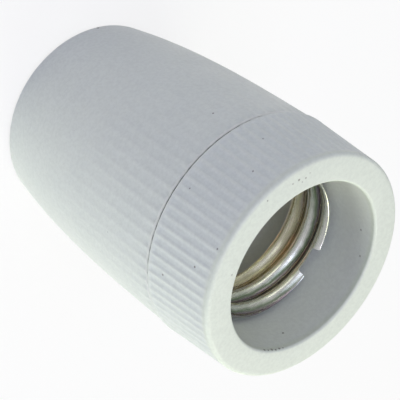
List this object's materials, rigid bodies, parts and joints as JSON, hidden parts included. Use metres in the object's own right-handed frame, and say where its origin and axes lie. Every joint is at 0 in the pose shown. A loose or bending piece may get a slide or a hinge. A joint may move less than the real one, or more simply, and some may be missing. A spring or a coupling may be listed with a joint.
{
  "type": "lamp holder",
  "caption": "Round ribbed porcelain lamp holder: tapered cap, screw-on skirt with a smooth lip, and a metal thread shell set back in the mouth.",
  "frame": {"origin": "centre of the cap's flat end face, where the cable enters", "axes": "+Z along the holder's axis from the cap's end to the mouth; +X through the foot of the shell that has the plain rivet"},
  "size_m": [0.0412, 0.0412, 0.0586],
  "materials": {
    "glazed_porcelain": "soft gloss glaze, greyish white",
    "bare_porcelain": "unglazed, matt",
    "passivated_steel": "rolled, yellow passivated, iridescent",
    "brass": "stamped",
    "spring_bronze": "rolled strip",
    "zinc_steel": "zinc plated"
  },
  "bodies": {
    "cap_body": {"cap": "glazed_porcelain", "entry_bush": "zinc_steel", "bush_washer": "zinc_steel", "bush_nut": "zinc_steel", "tube_screw": "zinc_steel"},
    "insert_body": {"insert": "bare_porcelain", "thread_shell": "passivated_steel", "centre_contact": "spring_bronze", "centre_rivet": "brass", "live_terminal": "brass", "live_washer": "zinc_steel", "live_screw": "zinc_steel", "neutral_terminal": "brass", "neutral_washer": "zinc_steel", "neutral_screw": "zinc_steel", "shell_rivet_neutral": "brass", "shell_rivet_plain": "brass", "shell_rivet_washer": "zinc_steel"},
    "skirt_body": {"skirt": "glazed_porcelain"}
  },
  "joints": [
    {"name": "insert_travel", "type": "slide", "parent": "cap_body", "child": "insert_body", "axis": [0, 0, 1], "range_m": [0, 0.0091]},
    {"name": "skirt_turn", "type": "hinge", "parent": "insert_body", "child": "skirt_body", "pos_m": [0, 0, 0.045], "axis": [0, 0, 1], "range_deg": [0, 810]}
  ],
  "couplings": [
    {"joint": "insert_travel", "follows": "skirt_turn", "m_per_rad": 0.00063662}
  ]
}
